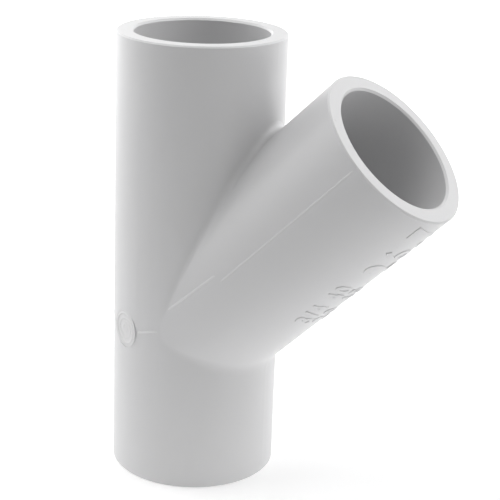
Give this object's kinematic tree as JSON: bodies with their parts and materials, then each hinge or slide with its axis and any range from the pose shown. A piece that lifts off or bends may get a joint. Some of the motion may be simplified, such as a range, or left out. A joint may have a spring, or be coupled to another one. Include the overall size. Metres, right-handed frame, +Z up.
{
  "type": "lateral wye fitting",
  "caption": "Straight pipe run with a 45 degree branch of the same size, moulded in one piece, with a plain slip socket at each end.",
  "frame": {"origin": "on the run's axis at the lower mouth, in the plane of the lower rim", "axes": "+Z up the run's axis to the upper mouth; the branch leans from the run's middle towards +X, 45 degrees from +Z"},
  "size_m": [0.0709, 0.0338, 0.0909],
  "materials": {
    "body_plastic": "smooth moulded white plastic, semi-gloss"
  },
  "bodies": {
    "root": {"fitting_body": "body_plastic"}
  },
  "joints": []
}
